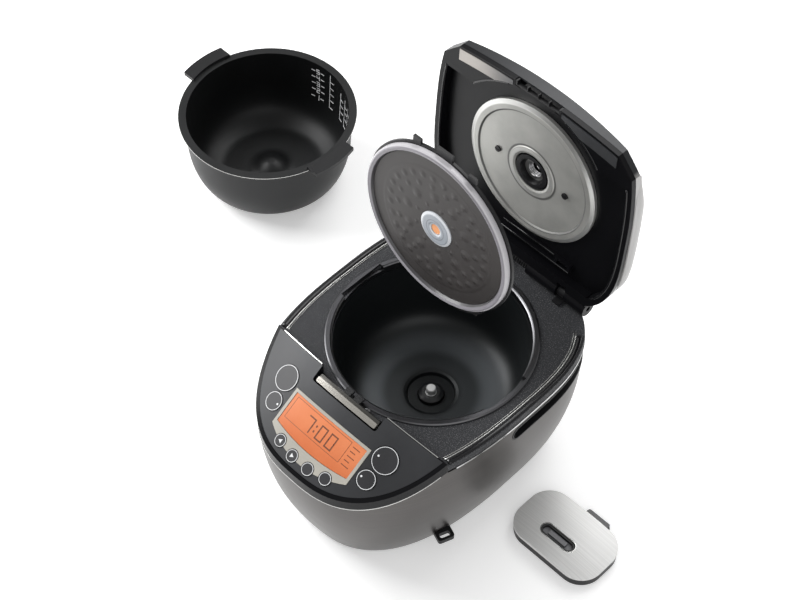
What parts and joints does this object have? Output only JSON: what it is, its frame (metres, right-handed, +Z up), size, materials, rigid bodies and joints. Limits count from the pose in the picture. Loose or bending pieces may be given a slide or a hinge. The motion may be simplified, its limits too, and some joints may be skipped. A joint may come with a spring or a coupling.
{
  "type": "rice cooker",
  "caption": "Countertop rice cooker with hinged sprung lid, removable inner lid, lift-out pot, loose steam cap, press-button panel, orange display and centre pot sensor in a round chamber.",
  "frame": {"origin": "on the floor under the axis of the cooking chamber", "axes": "+Z up, -Y out of the control panel at the front, +X to the right seen from the front"},
  "size_m": [0.7975, 0.456, 0.4579],
  "materials": {
    "steel_shell": "brushed, satin",
    "black_plastic": "fine texture",
    "deck_plastic": "speckled texture",
    "panel_film": "satin",
    "silver_plastic": "satin silver",
    "display": "lit display",
    "chrome": "polished",
    "champagne_chrome": "polished",
    "rim_metal": "satin",
    "chamber_coating": "matt coating",
    "copper": "enamelled wire",
    "ferrite": "matt",
    "board": "circuit board",
    "sensor_metal": "satin",
    "spring_steel": "drawn wire",
    "rubber": "matt",
    "button_plastic": "satin",
    "lid_grey": "satin metallic",
    "lid_black": "gloss",
    "aluminium": "pressed sheet, satin",
    "vent_steel": "satin",
    "heater_tape": "foil",
    "inner_disc": "dimpled coating",
    "gasket": "translucent silicone",
    "valve_white": "satin",
    "valve_orange": "silicone",
    "pot_coating": "non-stick coating",
    "cap_steel": "brushed",
    "cap_grey": "satin"
  },
  "bodies": {
    "base": {"outer_shell": "steel_shell", "grip_cups": "black_plastic", "top_housing": "deck_plastic", "panel_face": "panel_film", "lcd_bezel": "silver_plastic", "lcd_window": "display", "deck_trim": "chrome", "chamber_ring": "rim_metal", "chamber": "chamber_coating", "induction_coil": "copper", "coil_carrier": "black_plastic", "ferrite_bars": "ferrite", "sensor_sleeve": "black_plastic", "sensor_spring": "spring_steel", "control_board": "board", "power_board": "board", "fan_frame": "black_plastic", "bottom_cover": "black_plastic", "rubber_feet": "rubber", "base_screws": "spring_steel", "screw_posts": "black_plastic", "hinge_brackets": "rim_metal", "hinge_pin": "spring_steel", "lid_spring": "spring_steel", "lever_pin": "spring_steel", "lever_spring": "spring_steel", "spoon_loop": "black_plastic", "power_inlet": "black_plastic"},
    "lid": {"lid_shell": "lid_grey", "lid_frame": "lid_black", "latch_window": "black_plastic", "lid_plate": "aluminium", "plate_screws": "spring_steel", "vent_tube": "vent_steel", "lid_heater": "heater_tape"},
    "inner_lid": {"inner_frame": "black_plastic", "inner_plate": "inner_disc", "inner_gasket": "gasket", "valve_ring": "valve_white", "valve_cap": "valve_orange"},
    "pot": {"pot": "pot_coating", "pot_handles": "black_plastic"},
    "steam_cap": {"cap_base": "black_plastic", "cap_top": "cap_steel", "cap_slot": "cap_grey"},
    "sensor": {"centre_sensor": "sensor_metal"},
    "fan": {"fan_rotor": "black_plastic"},
    "lever": {"open_lever": "champagne_chrome"},
    "button_start": {"button_start": "button_plastic"},
    "button_cancel": {"button_cancel": "button_plastic"},
    "button_timer": {"button_timer": "button_plastic"},
    "button_warm": {"button_warm": "button_plastic"},
    "button_left": {"button_left": "button_plastic"},
    "button_right": {"button_right": "button_plastic"},
    "button_hour": {"button_hour": "button_plastic"},
    "button_minute": {"button_minute": "button_plastic"}
  },
  "joints": [
    {"name": "lid_hinge", "type": "hinge", "parent": "base", "child": "lid", "pos_m": [0, 0.136, 0.191], "axis": [1, 0, 0], "range_deg": [0, 93], "stiffness_Nm_per_rad": 1.2, "springref_deg": -45.84, "deforming": ["lid_spring"]},
    {"name": "inner_lid_slide", "type": "slide", "parent": "lid", "child": "inner_lid", "axis": [0, 0.9795, -0.2013], "range_m": [0, 0.1336]},
    {"name": "pot_lift", "type": "slide", "parent": "base", "child": "pot", "axis": [0, 0, 1], "range_m": [0, 0.25]},
    {"name": "cap_lift", "type": "slide", "parent": "base", "child": "steam_cap", "axis": [0, 0, 1], "range_m": [0, 0.15]},
    {"name": "sensor_press", "type": "slide", "parent": "base", "child": "sensor", "axis": [0, 0, -1], "range_m": [0, 0.004], "stiffness_N_per_m": 300, "springref_m": -0.006, "deforming": ["sensor_spring"]},
    {"name": "fan_spin", "type": "hinge", "parent": "base", "child": "fan", "pos_m": [0.048, 0.068, 0.0175], "axis": [0, 0, 1], "continuous": true},
    {"name": "lever_press", "type": "hinge", "parent": "base", "child": "lever", "pos_m": [0, -0.12036, 0.18033], "axis": [-1, 0, 0], "range_deg": [0, 8], "stiffness_Nm_per_rad": 0.6, "springref_deg": -6.88, "deforming": ["lever_spring"]},
    {"name": "button_start_press", "type": "slide", "parent": "base", "child": "button_start", "axis": [-0.1714, 0.5366, -0.8263], "range_m": [0, 0.001], "stiffness_N_per_m": 500, "springref_m": -0.001},
    {"name": "button_cancel_press", "type": "slide", "parent": "base", "child": "button_cancel", "axis": [0.1714, 0.5366, -0.8263], "range_m": [0, 0.001], "stiffness_N_per_m": 500, "springref_m": -0.001},
    {"name": "button_timer_press", "type": "slide", "parent": "base", "child": "button_timer", "axis": [-0.1619, 0.5375, -0.8276], "range_m": [0, 0.001], "stiffness_N_per_m": 500, "springref_m": -0.001},
    {"name": "button_warm_press", "type": "slide", "parent": "base", "child": "button_warm", "axis": [0.1619, 0.5375, -0.8276], "range_m": [0, 0.001], "stiffness_N_per_m": 500, "springref_m": -0.001},
    {"name": "button_left_press", "type": "slide", "parent": "base", "child": "button_left", "axis": [0.0786, 0.543, -0.8361], "range_m": [0, 0.001], "stiffness_N_per_m": 500, "springref_m": -0.001},
    {"name": "button_right_press", "type": "slide", "parent": "base", "child": "button_right", "axis": [0.0271, 0.5444, -0.8384], "range_m": [0, 0.001], "stiffness_N_per_m": 500, "springref_m": -0.001},
    {"name": "button_hour_press", "type": "slide", "parent": "base", "child": "button_hour", "axis": [-0.0271, 0.5444, -0.8384], "range_m": [0, 0.001], "stiffness_N_per_m": 500, "springref_m": -0.001},
    {"name": "button_minute_press", "type": "slide", "parent": "base", "child": "button_minute", "axis": [-0.0786, 0.543, -0.8361], "range_m": [0, 0.001], "stiffness_N_per_m": 500, "springref_m": -0.001}
  ],
  "couplings": [
    {"joint": "inner_lid_slide", "follows": "lid_hinge", "m_per_rad": 0.08225}
  ]
}
